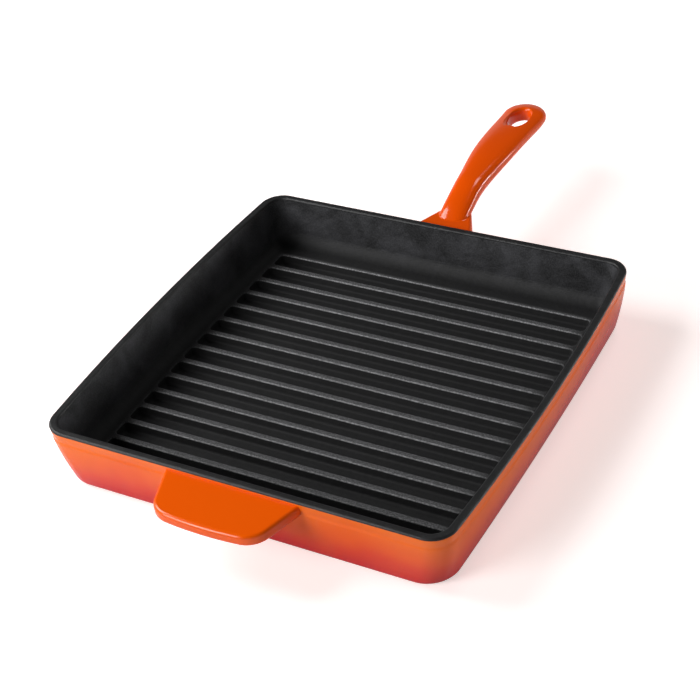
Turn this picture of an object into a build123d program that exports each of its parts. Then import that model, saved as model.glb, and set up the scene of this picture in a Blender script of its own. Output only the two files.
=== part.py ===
from build123d import *
from math import copysign, cos, pi, sin
import os

os.makedirs("parts", exist_ok=True)

# Square grill pan in enamelled cast iron, in millimetres.
# The origin is the centre of the underside, +Y runs towards the long handle, +Z is up.

# Pan body, over the enamel
pan_length = 260.0           # over the rim, helper handle side to long handle side
pan_width = 260.0            # over the rim, at the middle of the two bowed sides
pan_depth = 39.5             # underside to rim
rim_bow = 5.2                # how far each side of the rim bows out past its corners
rim_corner = 14.6
base_length = 252.2          # outline of the underside, before its edge is rounded
base_width = 243.6
base_bow = 3.3
base_corner = 18.5
base_edge_radius = 5.5
lip_height = 8.1             # upright band under the rim
lip_step = 0.6               # how far the band is set back from the wall below it
wall_curve = 1.6             # 1 is a straight wall, more curves it in towards the base

# Walls, cooking surface and coats
rim_wall = 4.6
foot_wall = 6.2              # wall at the height of the rib crests
floor_thickness = 4.2
rib_height = 5.3
rib_crest = 3.4
rib_pitch = 15.2
free_ribs = 13
groove_corner = 2.8
groove_floor_radius = 1.5
groove_taper = 12.0          # degrees
foot_radius = 8.0            # between the wall and the rib crests
rim_edge_radius = 1.2
rib_edge_radius = 0.8
coat = 0.5                   # enamel on every face of the iron
rim_coat_height = 1.4        # how far the black rim reaches down the wall
base_coat_height = 1.2       # where the underside's enamel meets the wall's

# Long handle
handle_reach = 143.2         # rim to the end of the handle
handle_width = 29.6          # at its round end
handle_thickness = 12.6      # at its neck
handle_root_top = 37.6       # above the underside
handle_rise = 16.0           # root to the highest point
handle_fullness = 2.5        # 2 is an ellipse, more is a fuller section
hole_width = 13.6            # inside the thickness of the handle
hole_length = 23.5
hole_end_wall = 11.5         # from the hole to the handle's end
hole_flare = 2.0             # how deep its mouths open out

# Web that spreads the handle's load into the wall, its top level with the handle's root
web_root_width = 40.0        # at the rim
web_tip_width = 13.4         # inside the handle
web_reach = 26.8             # rim to the tip
web_root_thickness = 9.0
web_tip_thickness = 2.0
web_edge_share = 0.38        # radius of its long edges over its thickness
web_fillet = 1.5             # where the handle rises out of it

# Helper handle
helper_reach = 31.8
helper_width = 83.0          # where it leaves the wall
helper_side_slope = 9.4      # how far each side closes in towards the front
helper_corner = 14.5
helper_crown = 2.4           # how far its front edge bows out
helper_thickness = 7.0
helper_top = 36.6
helper_edge_radius = 2.2

overrun = 6.0                # how far a cut or a root runs past the face it meets

# The handle's sections from the rim, where it is sunk in the web, to the centre of its round
# end. Each row holds how far along, half width, thickness and height of the top, as shares of
# the sizes above.
handle_shares = (
    (0.000, 0.635, 0.43, -0.20),
    (0.055, 0.635, 0.60, -0.04),
    (0.101, 0.640, 0.85, 0.21),
    (0.160, 0.645, 0.98, 0.44),
    (0.254, 0.645, 1.00, 0.70),
    (0.36, 0.690, 1.00, 0.87),
    (0.48, 0.810, 0.96, 0.96),
    (0.62, 0.920, 0.91, 1.00),
    (0.78, 0.975, 0.87, 0.965),
    (0.90, 1.000, 0.85, 0.900),
    (1.00, 1.000, 0.84, 0.880),
)
side_spans = 8               # of the curve down each side of a section
mouth_shares = (0, 0.5, 1, 1.5)    # how far up a mouth's flare its sections lie

crest_height = floor_thickness + rib_height
groove_width = rib_pitch - rib_crest
groove_count = free_ribs + 1
lip_bottom = pan_depth - lip_height
rim_line = pan_depth - rim_coat_height


def flare_share(height):
    """How much of the way from the base outline to the rim outline the wall has opened."""
    return 1 - (1 - height / pan_depth) ** wall_curve


def half_width_at(height):
    return (base_width + (pan_width - base_width) * flare_share(height)) / 2


def half_length_at(height):
    return (base_length + (pan_length - base_length) * flare_share(height)) / 2


def bow_at(height):
    return base_bow + (rim_bow - base_bow) * flare_share(height)


def pan_outline(height, inset, level=None):
    """Outline of the wall at a height, moved in by inset and drawn at a level of its own."""
    half_width = half_width_at(height) - inset
    half_length = half_length_at(height) - inset
    side = half_width - bow_at(height)
    corner = base_corner + (rim_corner - base_corner) * flare_share(height) - inset
    with BuildSketch(Plane.XY.offset(height if level is None else level)) as outline:
        with BuildLine():
            ThreePointArc((side, -half_length), (half_width, 0), (side, half_length))
            Line((side, half_length), (-side, half_length))
            ThreePointArc((-side, half_length), (-half_width, 0), (-side, -half_length))
            Line((-side, -half_length), (side, -half_length))
        make_face()
        fillet(outline.vertices(), corner)
    return outline.sketch


def body_block(inset):
    """The pan's outside as a solid block, moved in all over by inset."""
    heights = (0, lip_bottom / 3, lip_bottom * 2 / 3, lip_bottom)
    wall = [pan_outline(h, inset, max(h, inset)) for h in heights]
    lip = [
        pan_outline(lip_bottom, inset),
        pan_outline(lip_bottom + lip_step, inset + lip_step),
        pan_outline(pan_depth, inset, pan_depth - inset),
    ]
    with BuildPart() as block:
        loft(sections=wall)
        loft(sections=lip, ruled=True)
        fillet(block.edges().group_by(Axis.Z)[0], base_edge_radius - inset)
    return block.part


def bowl(growth):
    """The open space above the rib crests, grown all over by growth."""
    bottom = crest_height - growth
    with BuildPart() as space:
        loft(sections=[
            pan_outline(crest_height, foot_wall - growth, bottom),
            pan_outline(pan_depth, rim_wall - growth),
        ], ruled=True)
        fillet(space.edges().group_by(Axis.Z)[0], foot_radius + growth)
    return space.part


def groove_half_length(offset):
    """Half the length of the groove that lies at an offset from the pan's middle."""
    bow = bow_at(crest_height) * (offset / half_length_at(crest_height)) ** 2
    return half_width_at(crest_height) - bow - foot_wall - foot_radius


def grooves(growth):
    """The channels between the ribs, grown all over by growth."""
    with BuildPart() as channels:
        for number in range(groove_count):
            offset = (number - (groove_count - 1) / 2) * rib_pitch
            length = 2 * groove_half_length(offset) + 2 * growth
            with BuildSketch(Plane.XY.offset(crest_height - growth)):
                with Locations((0, offset)):
                    RectangleRounded(length, groove_width + 2 * growth, groove_corner + growth)
            extrude(amount=-rib_height, taper=groove_taper)
        fillet(channels.edges().group_by(Axis.Z)[0], groove_floor_radius + growth)
    return channels.part


def cooking_space(growth, edge_radius=0):
    """All the air inside the pan: the bowl and the channels, with rounded rib crests."""
    above, between = bowl(growth), grooves(growth)
    with BuildPart() as space:
        add(above)
        add(between)
        if edge_radius:
            crests = space.faces().filter_by(Axis.Z).group_by(Axis.Z)[1][0]
            fillet([edge for wire in crests.inner_wires() for edge in wire.edges()], edge_radius)
    return space.part


def oval_side(half_width, half_height, middle):
    """Points down one side of an oval, whose corners fill out as the fullness grows past 2."""
    points = []
    for number in range(side_spans + 1):
        turn = pi / 2 - pi * number / side_spans
        across = half_width * abs(cos(turn)) ** (2 / handle_fullness)
        up = half_height * copysign(abs(sin(turn)) ** (2 / handle_fullness), sin(turn))
        points.append((across, middle + up))
    return points


def handle_half_section(share_row, inset):
    """The right half of one upright section of the long handle, square to its length."""
    along, width_share, thickness_share, top_share = share_row
    distance = pan_length / 2 + along * (handle_reach - handle_width / 2)
    half_height = handle_thickness * thickness_share / 2
    middle = handle_root_top + handle_rise * top_share - half_height
    side = oval_side(handle_width / 2 * width_share - inset, half_height - inset, middle)
    with BuildSketch(Plane.XZ.offset(-distance)) as section:
        with BuildLine():
            Spline(*side, tangents=((1, 0), (-1, 0)))
            Line(side[-1], side[0])
        make_face()
    return section.sketch


def hole_outline(height, growth):
    """The hanging hole's oval at a height, grown all round by growth."""
    centre = pan_length / 2 + handle_reach - hole_end_wall - hole_length / 2
    with BuildSketch(Plane.XY.offset(height)) as outline:
        with Locations((0, centre)):
            Ellipse(hole_width / 2 + growth, hole_length / 2 + growth)
    return outline.sketch


def hole_cutter(growth):
    """The hanging hole with its two rounded mouths."""
    thickness_share, top_share = handle_shares[-1][2:]
    top = handle_root_top + handle_rise * top_share - growth
    bottom = top - handle_thickness * thickness_share + 2 * growth
    with BuildPart() as cutter:
        loft(sections=[hole_outline(bottom, growth), hole_outline(top, growth)], ruled=True)
        for face, way in ((top, 1), (bottom, -1)):
            throat = face - way * hole_flare
            loft(sections=[
                hole_outline(throat + way * hole_flare * share, growth + hole_flare * share ** 2)
                for share in mouth_shares
            ])
    return cutter.part


def web_section(distance, width, thickness, inset):
    """One upright section of the web under the handle's root."""
    height = thickness - 2 * inset
    with BuildSketch(Plane.XZ.offset(-distance)) as section:
        with Locations((0, handle_root_top - thickness / 2)):
            RectangleRounded(width - 2 * inset, height, height * web_edge_share)
    return section.sketch


def web_block(inset):
    """The web, moved in all over by inset, with its root run into the pan's wall."""
    rim = pan_length / 2
    root = web_section(rim, web_root_width, web_root_thickness, inset)
    tip = web_section(rim + web_reach, web_tip_width, web_tip_thickness, inset)
    with BuildPart() as web:
        loft(sections=[root, tip], ruled=True)
        extrude(root, amount=overrun, dir=(0, -1, 0))
    return web.part


def handle_block(inset):
    """The long handle, moved in all over by inset, with its root run into the pan's wall."""
    sections = [handle_half_section(row, inset) for row in handle_shares]
    root = sections[0].faces()[0]
    end_axis = Axis((0, pan_length / 2 + handle_reach - handle_width / 2), (0, 0, 1))
    hole, web = hole_cutter(inset), web_block(inset)
    with BuildPart() as handle:
        loft(sections=sections)
        extrude(root, amount=overrun, dir=(0, -1, 0))
        revolve(sections[-1], axis=end_axis, revolution_arc=90)
        add(hole, mode=Mode.SUBTRACT)
        mirror(about=Plane.YZ)
        add(web)
        crease = handle.edges(Select.NEW).filter_by(lambda edge: edge.center().Y > pan_length / 2)
        fillet(crease, web_fillet + inset)
    return handle.part


def helper_block(inset):
    """The short helper handle, moved in all over by inset, with its root inside the wall."""
    wall = -pan_length / 2
    root = helper_width / 2 - inset
    side = root - helper_side_slope
    front = wall - helper_reach + inset
    shoulder = front + helper_crown
    with BuildPart() as helper:
        with BuildSketch(Plane.XY.offset(helper_top - inset)) as outline:
            with BuildLine():
                Line((root, wall + overrun), (root, wall))
                Line((root, wall), (side, shoulder))
                ThreePointArc((side, shoulder), (0, front), (-side, shoulder))
                Line((-side, shoulder), (-root, wall))
                Line((-root, wall), (-root, wall + overrun))
                Line((-root, wall + overrun), (root, wall + overrun))
            make_face()
            fillet(outline.vertices().group_by(Axis.Y)[0], helper_corner - inset)
        extrude(amount=-(helper_thickness - 2 * inset))
        faces = helper.faces().filter_by(Axis.Z)
        rims = faces.edges().filter_by(lambda edge: edge.center().Y < wall + overrun / 2)
        fillet(rims, helper_edge_radius - inset)
    return helper.part


def layer(bottom, top):
    """A flat slice of space, wider than the pan, that the coats are divided with."""
    with BuildPart() as slice_of_space:
        with BuildSketch(Plane.XY.offset(bottom)):
            Rectangle(pan_width + 2 * overrun, pan_length + 2 * overrun)
        extrude(amount=top - bottom)
    return slice_of_space.part


def rib_field():
    """The space that the free ribs fill, from their feet up and short of the side walls."""
    edge = free_ribs * rib_pitch / 2
    side = groove_half_length(edge) - groove_corner
    middle = groove_half_length(0) - groove_corner
    with BuildPart() as field:
        with BuildSketch(Plane.XY.offset(floor_thickness - coat)):
            with BuildLine():
                ThreePointArc((side, -edge), (middle, 0), (side, edge))
                Line((side, edge), (-side, edge))
                ThreePointArc((-side, edge), (-middle, 0), (-side, -edge))
                Line((-side, -edge), (side, -edge))
            make_face()
        extrude(amount=rib_height + overrun)
    return field.part


def write_piece(piece, label):
    piece.part.label = label
    export_step(piece.part, f"parts/{label}.step")
    print(label, len(piece.part.solids()), "solids", round(piece.part.volume), "mm3")


outside = body_block(0)
iron_outside = body_block(coat)
space = cooking_space(0, rib_edge_radius)
iron_space = cooking_space(coat)
ribs_space = rib_field()
handle, handle_iron = handle_block(0), handle_block(coat)
helper, helper_iron = helper_block(0), helper_block(coat)

# The iron casting: floor with walls, free ribs, and the two handles cast on
with BuildPart() as pan_shell_casting:
    add(iron_outside)
    add(iron_space, mode=Mode.SUBTRACT)
    add(ribs_space, mode=Mode.SUBTRACT)

with BuildPart() as grill_ribs:
    add(ribs_space)
    add(iron_space, mode=Mode.SUBTRACT)
    add(iron_outside, mode=Mode.INTERSECT)

with BuildPart() as long_handle_core:
    add(handle_iron)
    add(iron_outside, mode=Mode.SUBTRACT)

with BuildPart() as helper_handle_core:
    add(helper_iron)
    add(iron_outside, mode=Mode.SUBTRACT)

# The enamel: black inside and over the rim, coloured outside and on both handles
with BuildPart() as interior_enamel:
    add(iron_space)
    add(space, mode=Mode.SUBTRACT)
    add(layer(0, rim_line), mode=Mode.INTERSECT)

with BuildPart() as rim_enamel:
    add(outside)
    add(space, mode=Mode.SUBTRACT)
    fillet(rim_enamel.edges().group_by(Axis.Z)[-1], rim_edge_radius)
    add(layer(rim_line, pan_depth + overrun), mode=Mode.INTERSECT)
    add(pan_shell_casting.part, mode=Mode.SUBTRACT)

with BuildPart() as wall_enamel:
    add(outside)
    add(iron_outside, mode=Mode.SUBTRACT)
    add(layer(base_coat_height, rim_line), mode=Mode.INTERSECT)
    add(handle, mode=Mode.SUBTRACT)
    add(helper, mode=Mode.SUBTRACT)

with BuildPart() as base_enamel:
    add(outside)
    add(iron_outside, mode=Mode.SUBTRACT)
    add(layer(0, base_coat_height), mode=Mode.INTERSECT)

with BuildPart() as long_handle_enamel:
    add(handle)
    add(handle_iron, mode=Mode.SUBTRACT)
    add(iron_outside, mode=Mode.SUBTRACT)

with BuildPart() as helper_handle_enamel:
    add(helper)
    add(helper_iron, mode=Mode.SUBTRACT)
    add(iron_outside, mode=Mode.SUBTRACT)

write_piece(pan_shell_casting, "pan_shell_casting")
write_piece(grill_ribs, "grill_ribs")
write_piece(long_handle_core, "long_handle_core")
write_piece(helper_handle_core, "helper_handle_core")
write_piece(interior_enamel, "interior_enamel")
write_piece(rim_enamel, "rim_enamel")
write_piece(wall_enamel, "wall_enamel")
write_piece(base_enamel, "base_enamel")
write_piece(long_handle_enamel, "long_handle_enamel")
write_piece(helper_handle_enamel, "helper_handle_enamel")
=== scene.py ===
import math

import bpy
import numpy as np
from mathutils import Matrix, Vector


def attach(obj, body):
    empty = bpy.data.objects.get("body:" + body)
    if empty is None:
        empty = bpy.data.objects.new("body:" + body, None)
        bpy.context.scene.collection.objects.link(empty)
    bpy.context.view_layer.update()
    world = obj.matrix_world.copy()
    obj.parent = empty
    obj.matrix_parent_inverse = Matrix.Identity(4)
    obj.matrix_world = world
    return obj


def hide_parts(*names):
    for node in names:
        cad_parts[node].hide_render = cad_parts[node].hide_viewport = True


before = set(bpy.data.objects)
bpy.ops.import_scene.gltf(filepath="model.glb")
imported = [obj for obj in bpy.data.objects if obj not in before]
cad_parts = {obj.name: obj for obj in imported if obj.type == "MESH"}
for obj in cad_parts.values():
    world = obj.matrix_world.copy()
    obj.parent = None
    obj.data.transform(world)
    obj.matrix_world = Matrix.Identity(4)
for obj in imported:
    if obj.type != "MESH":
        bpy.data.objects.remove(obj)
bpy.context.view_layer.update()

mm = 0.001


def linearFrom(colour):
    # sRGB hex to the linear values that Blender's sockets hold; a plain number is a grey
    if not isinstance(colour, str):
        return (colour, colour, colour, 1.0)
    parts = np.array([int(colour[i:i + 2], 16) / 255 for i in (1, 3, 5)])
    parts = np.where(parts <= 0.04045, parts / 12.92, ((parts + 0.055) / 1.055) ** 2.4)
    return (*parts.tolist(), 1.0)


def addNode(tree, kind, settings=None, links=None):
    # settings give a value to a socket, by name or number, or to an attribute of the node;
    # links give a socket its source
    node = tree.nodes.new(kind)
    for name, value in (settings or {}).items():
        if isinstance(name, int) or name in node.inputs:
            node.inputs[name].default_value = value
        else:
            setattr(node, name, value)
    for name, source in (links or {}).items():
        tree.links.new(source, node.inputs[name])
    return node


def newMaterial(name):
    material = bpy.data.materials.new(name)
    material.use_nodes = True
    material.node_tree.nodes.clear()
    return material, material.node_tree


def fillRamp(node, stops):
    # stops are (place from 0 to 1, colour)
    ramp = node.color_ramp
    ramp.elements.remove(ramp.elements[-1])
    ramp.elements[0].position = stops[0][0]
    ramp.elements[0].color = linearFrom(stops[0][1])
    for place, colour in stops[1:]:
        ramp.elements.new(place).color = linearFrom(colour)
    return node


# Matte black enamel: sprayed on as a slip and fired to a dense, slightly rough coat.
# It is a deep black, blotchy on the walls, where the slip ran. Painted light and shade ride on its
# colour:
# the walls are drawn lighter and the groove floors and the foot of the walls darker, and the crests
# that carry the food get a grey shine with grainy bright edges, partly wear from use and partly
# painted sheen and highlight.
blackEnamel = {
    "name": "matteBlackEnamel",
    "bands": [
        # height, where its colour holds, dark colour, light colour, roughness
        # the darker groove floors, rib sides and foot of the walls are painted shade, the lighter
        # walls painted light
        (4 * mm, "#070708", "#0f0f10", 0.70),        # groove floors
        (8.2 * mm, "#080809", "#0d0d0e", 0.70),      # rib sides
        (9.4 * mm, "#09090a", "#0f0f10", 0.68),      # crests and ledge
        (10.4 * mm, "#0a0a0b", "#151516", 0.68),     # foot of the walls
        (13.5 * mm, "#0c0c0d", "#222224", 0.60),
        (16.5 * mm, "#121213", "#38383b", 0.50),     # walls
        (38 * mm, "#161617", "#4a4a4d", 0.46),
    ],
    "ior": 1.5,
    "gloss": 0.35,
    # The crests' lighter grey is partly wear from use and partly painted sheen, glints and highlight
    # on their edges
    "sheenAndWear": [
        # height, how much of the wear and painted sheen shows, most on the crests' rounded edges as a
        # painted highlight
        (8.5 * mm, 0.0), (8.95 * mm, 1.0), (9.3 * mm, 1.0), (9.46 * mm, 0.5), (9.7 * mm, 0.0)],
    "sheenAndWearColour": "#8a8a8c",
    "sheenAndWearRoughness": 0.36,
    "sheenAndWearLeast": 0.3,                                # between the grains
    "sheenAndWearReach": (97 * mm, 104.5 * mm),              # half the area of wear and painted sheen, along the ribs and across
    # the fade towards the walls is painted shade cast by the walls
    "sheenAndWearFade": (17 * mm, 3 * mm),
    "blotchSize": 20 * mm,
    "blotchTwist": 0.5,
    "blotchRange": (0.38, 0.68),  # the noise's values from a dark patch to a light one
    "gritSize": 0.8 * mm,         # real grit is about 0.3 mm, drawn coarser so that it shows
    "gritDepth": 0.06 * mm,
    "gritRange": (0.42, 0.62),
    "gritShare": 0.35,            # of the light colour, the rest comes from the blotches
    "pitSize": 3.6 * mm,          # the sand casting under the coat
    "pitDepth": 0.3 * mm,
    "roughnessSpread": 0.12,
}
rimEnamel = dict(
    blackEnamel,
    name="rimBlackEnamel",
    sheenAndWear=[],
    bands=[
        (30 * mm, "#101011", "#18181a", 0.42),
        (39.5 * mm, "#131314", "#232324", 0.38),
    ],
    blotchSize=14 * mm)


def paintCrestSheenAndWear(tree, look, place, level, speck, colour, rough):
    # mixes wear from use and painted sheen over the coat on the crests, with a painted highlight on
    # their edges, fading out towards the walls as painted shade
    top = look["bands"][-1][0]
    sheenAndWearShare = fillRamp(addNode(tree, "ShaderNodeValToRGB", None, {"Fac": level}),
                      [(height / top, share) for height, share in look["sheenAndWear"]]).outputs["Color"]
    spread = addNode(tree, "ShaderNodeVectorMath", {"operation": "ABSOLUTE"}, {0: place})
    axes = addNode(tree, "ShaderNodeSeparateXYZ", None, {"Vector": spread.outputs["Vector"]})
    for axis, reach, fade in zip("XY", look["sheenAndWearReach"], look["sheenAndWearFade"]):
        inside = addNode(
            tree, "ShaderNodeMapRange",
            {"From Min": reach + fade, "From Max": reach, "interpolation_type": "SMOOTHSTEP"},
            {"Value": axes.outputs[axis]})
        sheenAndWearShare = addNode(tree, "ShaderNodeMath", {"operation": "MULTIPLY"},
                         {0: sheenAndWearShare, 1: inside.outputs["Result"]}).outputs["Value"]
    grainy = addNode(tree, "ShaderNodeMapRange", {"To Min": look["sheenAndWearLeast"]}, {"Value": speck})
    amount = addNode(tree, "ShaderNodeMath", {"operation": "MULTIPLY"},
                     {0: sheenAndWearShare, 1: grainy.outputs["Result"]})
    sheenAndWearColour = addNode(
        tree, "ShaderNodeMix", {"data_type": "RGBA", 7: linearFrom(look["sheenAndWearColour"])},
        {0: amount.outputs["Value"], 6: colour})
    sheenAndWearRough = addNode(tree, "ShaderNodeMix", {"data_type": "FLOAT", 3: look["sheenAndWearRoughness"]},
                        {0: sheenAndWearShare, 2: rough})
    return sheenAndWearColour.outputs[2], sheenAndWearRough.outputs[0]


def makeBlackEnamel(look):
    # Bands of colour by height, each blotched and speckled between its dark and light colour; the
    # bands paint shade on the groove floors and the foot of the walls and light on the walls
    material, tree = newMaterial(look["name"])
    place = addNode(tree, "ShaderNodeTexCoord").outputs["Object"]
    height = addNode(tree, "ShaderNodeSeparateXYZ", None, {"Vector": place}).outputs["Z"]
    top = look["bands"][-1][0]
    level = addNode(tree, "ShaderNodeMapRange", {"From Max": top}, {"Value": height}).outputs["Result"]
    blotches = addNode(
        tree, "ShaderNodeTexNoise",
        {"Scale": 1 / look["blotchSize"], "Detail": 5.0, "Distortion": look["blotchTwist"]},
        {"Vector": place})
    grit = addNode(tree, "ShaderNodeTexNoise", {"Scale": 1 / look["gritSize"], "Detail": 3.0},
                   {"Vector": place})
    pits = addNode(tree, "ShaderNodeTexNoise", {"Scale": 1 / look["pitSize"], "Detail": 2.0},
                   {"Vector": place})
    dark, light, rough = (
        fillRamp(addNode(tree, "ShaderNodeValToRGB", None, {"Fac": level}),
                 [(band[0] / top, band[column]) for band in look["bands"]]).outputs["Color"]
        for column in (1, 2, 3))
    patch, speck = (
        addNode(tree, "ShaderNodeMapRange", {"From Min": low, "From Max": high},
                {"Value": noise.outputs["Fac"]}).outputs["Result"]
        for noise, (low, high) in ((blotches, look["blotchRange"]), (grit, look["gritRange"])))
    patchPart = addNode(tree, "ShaderNodeMath", {"operation": "MULTIPLY", 1: 1 - look["gritShare"]},
                        {0: patch})
    shown = addNode(tree, "ShaderNodeMath", {"operation": "MULTIPLY_ADD", 1: look["gritShare"]},
                    {0: speck, 2: patchPart.outputs["Value"]})
    colour = addNode(tree, "ShaderNodeMix", {"data_type": "RGBA"},
                     {0: shown.outputs["Value"], 6: dark, 7: light}).outputs[2]
    # the crests get a lighter grey: wear from use and painted sheen, glints and highlight
    if look["sheenAndWear"]:
        colour, rough = paintCrestSheenAndWear(tree, look, place, level, speck, colour, rough)
    roughness = addNode(
        tree, "ShaderNodeMath", {"operation": "MULTIPLY_ADD", 1: look["roughnessSpread"]},
        {0: grit.outputs["Fac"], 2: rough})
    cast = addNode(tree, "ShaderNodeBump", {"Strength": 1.0, "Distance": look["pitDepth"]},
                   {"Height": pits.outputs["Fac"]})
    grain = addNode(tree, "ShaderNodeBump", {"Strength": 1.0, "Distance": look["gritDepth"]},
                    {"Height": grit.outputs["Fac"], "Normal": cast.outputs["Normal"]})
    shader = addNode(
        tree, "ShaderNodeBsdfPrincipled", {"IOR": look["ior"], "Specular IOR Level": look["gloss"]},
        {"Base Color": colour, "Roughness": roughness.outputs["Value"],
         "Normal": grain.outputs["Normal"]})
    addNode(tree, "ShaderNodeOutputMaterial", None, {"Surface": shader.outputs["BSDF"]})
    return material


# Gloss enamel over a ground coat, sprayed orange from above and red from below.
# To the eye it is a wet, glassy coat whose colour runs from orange at the top to crimson.
flameEnamel = {
    "name": "flameGlossEnamel",
    "stops": [(0.0, "#bd1218"), (0.15, "#c91e1a"), (0.35, "#d83a16"), (0.6, "#e6560c"),
              (0.85, "#ec6407"), (1.0, "#ee6a06")],
    "bottom": 1.0 * mm,
    "top": 37.5 * mm,
    "driftSize": 45 * mm,         # uneven spray along the wall
    "driftRange": (0.3, 0.7),     # the noise's values that shift the colour up and down by the drift
    "drift": 0.12,
    "rippleSize": 7 * mm,         # the faint orange peel of a fired coat
    "rippleDepth": 0.03 * mm,
    "roughness": 0.16,
    "ior": 1.5,
    "gloss": 0.4,
}
orangeEnamel = dict(
    flameEnamel,
    name="orangeGlossEnamel",
    stops=[(0.0, "#cf3e06"), (0.45, "#ec5701"), (1.0, "#f25d00")],
    bottom=26 * mm, top=42 * mm, drift=0.05, roughness=0.14)
# The long handle's coat is a little thicker and so a little deeper in colour
handleEnamel = dict(
    orangeEnamel,
    name="deepOrangeGlossEnamel",
    stops=[(0.0, "#c23904"), (0.45, "#dd4e02"), (1.0, "#e65001")],
    bottom=20 * mm, top=50 * mm)


def makeGlossEnamel(look):
    # One ramp of colour by height, shifted up and down a little by a slow noise
    material, tree = newMaterial(look["name"])
    place = addNode(tree, "ShaderNodeTexCoord").outputs["Object"]
    height = addNode(tree, "ShaderNodeSeparateXYZ", None, {"Vector": place}).outputs["Z"]
    level = addNode(
        tree, "ShaderNodeMapRange", {"From Min": look["bottom"], "From Max": look["top"]},
        {"Value": height})
    spray = addNode(tree, "ShaderNodeTexNoise", {"Scale": 1 / look["driftSize"], "Detail": 2.0},
                    {"Vector": place})
    low, high = look["driftRange"]
    shift = addNode(
        tree, "ShaderNodeMapRange",
        {"From Min": low, "From Max": high, "To Min": -look["drift"], "To Max": look["drift"]},
        {"Value": spray.outputs["Fac"]})
    blend = addNode(tree, "ShaderNodeMath", {"operation": "ADD"},
                    {0: level.outputs["Result"], 1: shift.outputs["Result"]})
    colour = fillRamp(addNode(tree, "ShaderNodeValToRGB", None, {"Fac": blend.outputs["Value"]}),
                      look["stops"])
    ripple = addNode(tree, "ShaderNodeTexNoise", {"Scale": 1 / look["rippleSize"], "Detail": 1.0},
                     {"Vector": place})
    coatShape = addNode(tree, "ShaderNodeBump", {"Strength": 1.0, "Distance": look["rippleDepth"]},
                        {"Height": ripple.outputs["Fac"]})
    shader = addNode(
        tree, "ShaderNodeBsdfPrincipled",
        {"IOR": look["ior"], "Roughness": look["roughness"], "Specular IOR Level": look["gloss"]},
        {"Base Color": colour.outputs["Color"], "Normal": coatShape.outputs["Normal"]})
    addNode(tree, "ShaderNodeOutputMaterial", None, {"Surface": shader.outputs["BSDF"]})
    return material


# Grey cast iron as it leaves the sand: dull, dark and grainy. Only the cores are bare.
castIron = {
    "name": "sandCastIron",
    "stops": [(0.3, "#2b2a29"), (0.7, "#4a4846")],
    "grainSize": 1.5 * mm,
    "grainDepth": 0.1 * mm,
    "roughness": 0.62,
}


def makeCastIron(look):
    material, tree = newMaterial(look["name"])
    place = addNode(tree, "ShaderNodeTexCoord").outputs["Object"]
    grain = addNode(tree, "ShaderNodeTexNoise", {"Scale": 1 / look["grainSize"], "Detail": 4.0},
                    {"Vector": place})
    colour = fillRamp(addNode(tree, "ShaderNodeValToRGB", None, {"Fac": grain.outputs["Fac"]}),
                      look["stops"])
    shape = addNode(tree, "ShaderNodeBump", {"Strength": 1.0, "Distance": look["grainDepth"]},
                    {"Height": grain.outputs["Fac"]})
    shader = addNode(
        tree, "ShaderNodeBsdfPrincipled", {"Metallic": 1.0, "Roughness": look["roughness"]},
        {"Base Color": colour.outputs["Color"], "Normal": shape.outputs["Normal"]})
    addNode(tree, "ShaderNodeOutputMaterial", None, {"Surface": shader.outputs["BSDF"]})
    return material


finishes = {
    "matteBlack": makeBlackEnamel(blackEnamel),
    "rimBlack": makeBlackEnamel(rimEnamel),
    "flame": makeGlossEnamel(flameEnamel),
    "orange": makeGlossEnamel(orangeEnamel),
    "deepOrange": makeGlossEnamel(handleEnamel),
    "iron": makeCastIron(castIron),
}
coats = {
    "pan_shell_casting": "iron",
    "grill_ribs": "iron",
    "long_handle_core": "iron",
    "helper_handle_core": "iron",
    "interior_enamel": "matteBlack",
    "rim_enamel": "rimBlack",
    "wall_enamel": "flame",
    "base_enamel": "flame",
    "long_handle_enamel": "deepOrange",
    "helper_handle_enamel": "orange",
}
for nodeName, finish in coats.items():
    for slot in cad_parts[nodeName].material_slots:
        slot.material = finishes[finish]
print("pan: finishes on", len(coats), "pieces")

# The outer wall's coat, as the glaze flows over it: the step under the rim is drawn out into a
# soft swell, and the wall between is a little uneven, as a fettled sand casting is
outerWall = {
    "rimHalf": (129.9 * mm, 129.9 * mm),      # half width and half length over the rim
    "baseHalf": (121.8 * mm, 126.1 * mm),
    "bow": (2.0 * mm, 5.2 * mm),              # of the two long sides, at the base and the rim
    "corner": (18.5 * mm, 14.6 * mm),         # at the base and the rim
    "depth": 39.5 * mm,
    "curve": 1.6,                             # 1 is a straight wall, more curves it in at the base
    "bottom": 1.2 * mm,
    "top": 38.1 * mm,
    "footRadius": 5.5 * mm,
    "swellFrom": 30.8 * mm,
    "swellTo": 32.8 * mm,
    "swellDepth": 0.5 * mm,
    "coat": 0.45 * mm,
    "unevenness": 0.09 * mm,
    "slantWave": (17 * mm, 29 * mm),          # across and along, for one radian of the first sine
    "crossWave": (13 * mm, 9 * mm),           # along and up, for one radian of the second
    "rows": 70,
    "points": (25, 17, 19),                   # on a quarter's side, corner and end
}


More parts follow.
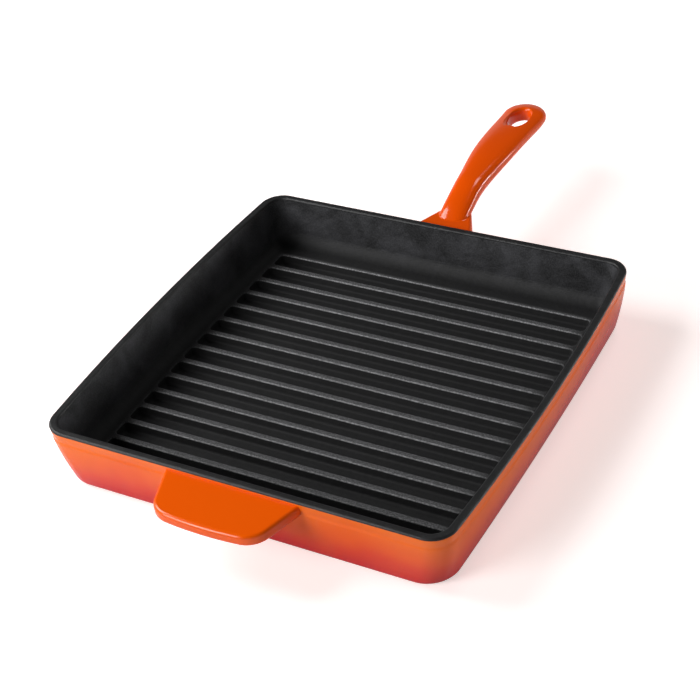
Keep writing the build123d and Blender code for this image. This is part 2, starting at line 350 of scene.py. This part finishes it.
def roundedOutline(halfWidth, halfLength, bow, corner):
    # A quarter runs along the bowed side (an arc through the middle and both ends of that side),
    # round the corner's arc and along half the straight end. The other three are its mirror
    # images. The arguments are columns of one value for each row, the points run across.
    sideRadius = (halfLength ** 2 + bow ** 2) / (2 * bow)
    sideCentre = halfWidth - sideRadius
    cornerY = halfLength - corner
    cornerX = sideCentre + np.sqrt((sideRadius - corner) ** 2 - cornerY ** 2)
    turn = np.arctan2(cornerY, cornerX - sideCentre)
    along, around, across = (np.linspace(0, 1, count)[None, :] for count in outerWall["points"])
    side = turn * along
    bend = turn + (np.pi / 2 - turn) * around[:, 1:]
    end = cornerX * (1 - across[:, 1:])
    x = np.hstack([sideCentre + sideRadius * np.cos(side), cornerX + corner * np.cos(bend), end])
    y = np.hstack([sideRadius * np.sin(side), cornerY + corner * np.sin(bend),
                   halfLength + 0 * end])
    x = np.hstack([x, -x[:, -2::-1], -x[:, 1:], x[:, -2:0:-1]])
    y = np.hstack([y, y[:, -2::-1], -y[:, 1:], -y[:, -2:0:-1]])
    return x, y


def makeOuterWall(look):
    # Surface of height and way round: the outline opens from the base's to the rim's by
    # 1 - (1 - height / depth) ** curve, is rounded in at the foot, set back by the swell and made
    # uneven by slow sines. The same rows, moved in by the coat, make the closed inner face.
    height = np.linspace(look["bottom"], look["top"], look["rows"])[:, None]
    opened = 1 - (1 - height / look["depth"]) ** look["curve"]

    def between(low, high):
        return low + (high - low) * opened

    slope = look["curve"] * (look["rimHalf"][0] - look["baseHalf"][0]) / look["depth"]
    steep = math.hypot(1, slope)
    radius = look["footRadius"]
    below = np.maximum(radius - height, 0)
    foot = slope * (height - radius) + radius * steep - np.sqrt(radius ** 2 - below ** 2)
    foot = np.where(height < radius * (1 - slope / steep), foot, 0)
    swell = np.clip((height - look["swellFrom"]) / (look["swellTo"] - look["swellFrom"]), 0, 1)
    swell = swell ** 2 * (3 - 2 * swell) * look["swellDepth"] * (look["depth"] - height) / (
        look["depth"] - look["swellTo"])
    calm = np.clip((height - look["bottom"]) * (look["swellFrom"] - height) /
                   (look["swellFrom"] / 2) ** 2, 0, 1)
    shells = []
    for depthIn in (0, look["coat"]):
        inset = foot + swell + depthIn
        halfWidth, halfLength = (
            between(base, rim) - inset for base, rim in zip(look["baseHalf"], look["rimHalf"]))
        x, y = roundedOutline(halfWidth, halfLength, between(*look["bow"]),
                              between(*look["corner"]) - inset)
        slant = np.sin(x / look["slantWave"][0] + y / look["slantWave"][1])
        cross = np.sin(y / look["crossWave"][0] + height / look["crossWave"][1])
        wave = (slant + cross + 2) / 4
        shrink = 1 - look["unevenness"] * calm * wave / look["baseHalf"][0]
        shells.append(np.dstack([x * shrink, y * shrink, height + 0 * x]))
    grid = np.vstack([shells[0], shells[1][::-1]])
    rows, columns = grid.shape[:2]
    index = np.arange(rows * columns).reshape(rows, columns)
    across, up = np.roll(index, -1, axis=1), np.roll(index, -1, axis=0)
    faces = np.dstack([index, across, np.roll(across, -1, axis=0), up]).reshape(-1, 4)
    mesh = bpy.data.meshes.new("outerWallGlaze")
    mesh.from_pydata(grid.reshape(-1, 3).tolist(), [], faces.tolist())
    mesh.polygons.foreach_set("use_smooth", np.ones(len(faces), dtype=bool))
    mesh.materials.append(finishes["flame"])
    wall = bpy.data.objects.new("outerWallGlaze", mesh)
    bpy.context.collection.objects.link(wall)
    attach(wall, "root")
    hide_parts("wall_enamel")
    print("pan: outer wall glazed,", len(faces), "faces")


makeOuterWall(outerWall)

# The studio: a pale floor and backdrop under a dark ceiling, a soft lamp high on the left and
# another in front, with a weak lamp behind and a low, wide fill on the right
studio = {
    "floorColour": "#e9e7e7",
    "floorSize": 6.0,
    "floorLift": "#d0c5c2",       # what the camera sees on top of the floor's own light
    "glossLift": 0.20,            # how much of that the gloss sees
    "lamps": [
        # name, from, width, height, watts
        ("leftSoftbox", (-1.05, -0.1, 0.95), 0.8, 0.8, 15),
        ("frontSoftbox", (-0.8, -1.35, 0.8), 0.9, 0.9, 20),
        ("backLamp", (0.2, 0.75, 1.15), 0.35, 0.35, 2),
        ("rightFill", (1.2, 0.8, 0.07), 0.9, 0.14, 8),
    ],
    "backdrop": [
        # height of the direction that is looked in, from 0 level to 1 straight up, and its grey
        (0.0, 0.42), (0.25, 0.42), (0.42, 0.04), (1.0, 0.02)],
}


def layFloor(look):
    # The camera, and the gloss in part, see the floor lifted towards white
    material, tree = newMaterial("studioFloor")
    base = addNode(tree, "ShaderNodeBsdfDiffuse", {"Color": linearFrom(look["floorColour"])})
    lift = addNode(tree, "ShaderNodeEmission", {"Color": linearFrom(look["floorLift"])})
    lifted = addNode(tree, "ShaderNodeAddShader", None,
                     {0: base.outputs["BSDF"], 1: lift.outputs["Emission"]})
    ray = addNode(tree, "ShaderNodeLightPath")
    cameraOrGloss = addNode(
        tree, "ShaderNodeMath", {"operation": "MULTIPLY_ADD", 1: look["glossLift"]},
        {0: ray.outputs["Is Glossy Ray"], 2: ray.outputs["Is Camera Ray"]})
    shown = addNode(tree, "ShaderNodeMixShader", None,
                    {0: cameraOrGloss.outputs["Value"], 1: base.outputs["BSDF"],
                     2: lifted.outputs["Shader"]})
    addNode(tree, "ShaderNodeOutputMaterial", None, {"Surface": shown.outputs["Shader"]})
    half = look["floorSize"] / 2
    mesh = bpy.data.meshes.new("studioFloor")
    mesh.from_pydata([(-half, -half, 0), (half, -half, 0), (half, half, 0), (-half, half, 0)], [],
                     [(0, 1, 2, 3)])
    mesh.materials.append(material)
    floor = bpy.data.objects.new("studioFloor", mesh)
    bpy.context.collection.objects.link(floor)


def placeLamps(look):
    # Each is aimed at the middle of the pan's underside
    for name, start, width, tall, watts in look["lamps"]:
        lamp = bpy.data.lights.new(name, "AREA")
        lamp.shape = "ELLIPSE"
        lamp.size, lamp.size_y = width, tall
        lamp.energy = watts
        holder = bpy.data.objects.new(name, lamp)
        holder.location = start
        holder.rotation_euler = (-Vector(start)).to_track_quat("-Z", "Y").to_euler()
        bpy.context.collection.objects.link(holder)


def hangBackdrop(look):
    world = bpy.context.scene.world or bpy.data.worlds.new("studioWorld")
    bpy.context.scene.world = world
    world.use_nodes = True
    tree = world.node_tree
    tree.nodes.clear()
    way = addNode(tree, "ShaderNodeTexCoord").outputs["Generated"]
    upward = addNode(tree, "ShaderNodeSeparateXYZ", None, {"Vector": way}).outputs["Z"]
    grey = fillRamp(addNode(tree, "ShaderNodeValToRGB", None, {"Fac": upward}), look["backdrop"])
    sky = addNode(tree, "ShaderNodeBackground", None, {"Color": grey.outputs["Color"]})
    addNode(tree, "ShaderNodeOutputWorld", None, {"Surface": sky.outputs["Background"]})


layFloor(studio)
placeLamps(studio)
hangBackdrop(studio)
print("pan: studio and lamps placed")

# The camera, as the photograph's was: a long lens from the front right, rolled a little
view = {
    "target": (-9.13 * mm, 17.20 * mm, 19.19 * mm),
    "distance": 987.9 * mm,
    "azimuth": 32.639,            # degrees round from the front
    "elevation": 36.761,
    "roll": -7.615,
    "lens": 85.85,                # mm
    "sensor": 36,                 # mm
    "nearest": 0.05,
    "furthest": 20,
}


def makeCamera(look):
    azimuth, elevation, roll = (math.radians(look[name]) for name in ("azimuth", "elevation", "roll"))
    back = Vector((math.sin(azimuth) * math.cos(elevation),
                   -math.cos(azimuth) * math.cos(elevation),
                   math.sin(elevation)))
    right = Vector((0, 0, 1)).cross(back).normalized()
    up = back.cross(right)
    turnedRight = math.cos(roll) * right + math.sin(roll) * up
    turnedUp = math.cos(roll) * up - math.sin(roll) * right
    lens = bpy.data.cameras.new("photoCamera")
    lens.lens = look["lens"]
    lens.sensor_width = look["sensor"]
    lens.clip_start, lens.clip_end = look["nearest"], look["furthest"]
    camera = bpy.data.objects.new("photoCamera", lens)
    turn = Matrix((turnedRight, turnedUp, back)).transposed().to_4x4()
    camera.matrix_world = Matrix.Translation(Vector(look["target"]) + back * look["distance"]) @ turn
    bpy.context.collection.objects.link(camera)
    bpy.context.scene.camera = camera


makeCamera(view)
bpy.context.scene.view_settings.view_transform = "Standard"
print("pan: camera placed")
